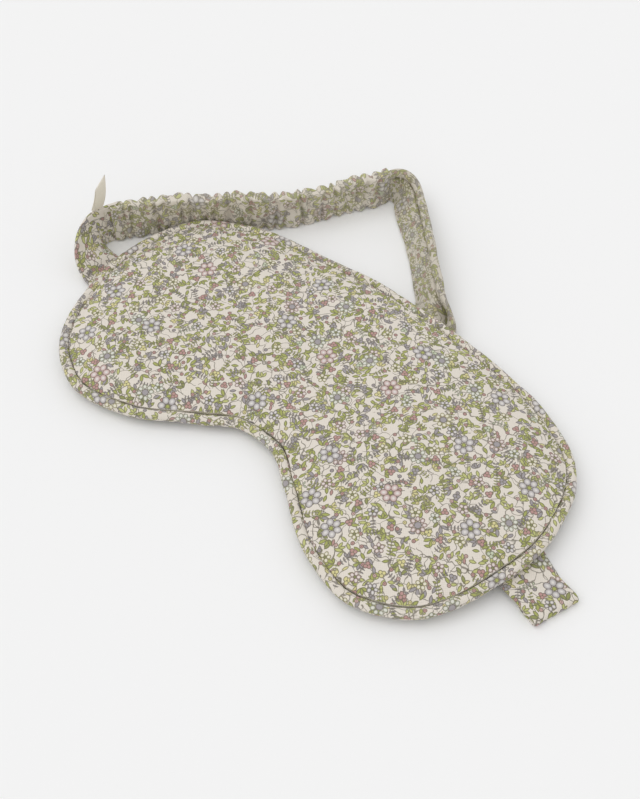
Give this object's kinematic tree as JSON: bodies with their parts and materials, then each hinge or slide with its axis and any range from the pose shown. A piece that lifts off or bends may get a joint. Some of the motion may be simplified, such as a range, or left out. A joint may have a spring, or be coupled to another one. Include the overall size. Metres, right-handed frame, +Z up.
{
  "type": "sleep mask",
  "caption": "Padded cloth sleep mask with a piped edge, a flat cloth strap that runs under it, and a gathered elastic strap with a small label.",
  "frame": {"origin": "on the table under the middle of the whole mask's box, strap included", "axes": "+X along the mask from its left end to its right end, +Y towards the forehead edge, +Z up out of the printed front"},
  "size_m": [0.2338, 0.1622, 0.0356],
  "materials": {
    "printed_cotton": "fine plain-weave cotton with a small all-over flower print",
    "wadding": "soft white polyester wadding",
    "blackout_lining": "dense black interlining",
    "piping_cord": "soft twisted cotton cord",
    "sewing_thread": "matte cotton sewing thread",
    "white_elastic": "flat woven elastic band",
    "label_tape": "plain folded woven tape, no print"
  },
  "bodies": {
    "mask": {"front_panel": "printed_cotton", "front_wadding": "wadding", "blackout_lining": "blackout_lining", "back_wadding": "wadding", "back_panel": "printed_cotton", "edge_piping": "printed_cotton", "piping_cord": "piping_cord", "perimeter_seam": "sewing_thread", "side_strap": "printed_cotton", "side_join_stitches": "sewing_thread", "gathered_casing": "printed_cotton", "strap_elastic": "white_elastic", "left_tab": "printed_cotton", "tab_join_stitches": "sewing_thread"},
    "label": {"side_label": "label_tape"}
  },
  "joints": [
    {"name": "label_flex", "type": "hinge", "parent": "mask", "child": "label", "pos_m": [-0.1154, -0.02196, 0.01849], "axis": [0.183, 0.9831, 0], "range_deg": [-60, 60], "stiffness_Nm_per_rad": 0.001}
  ]
}
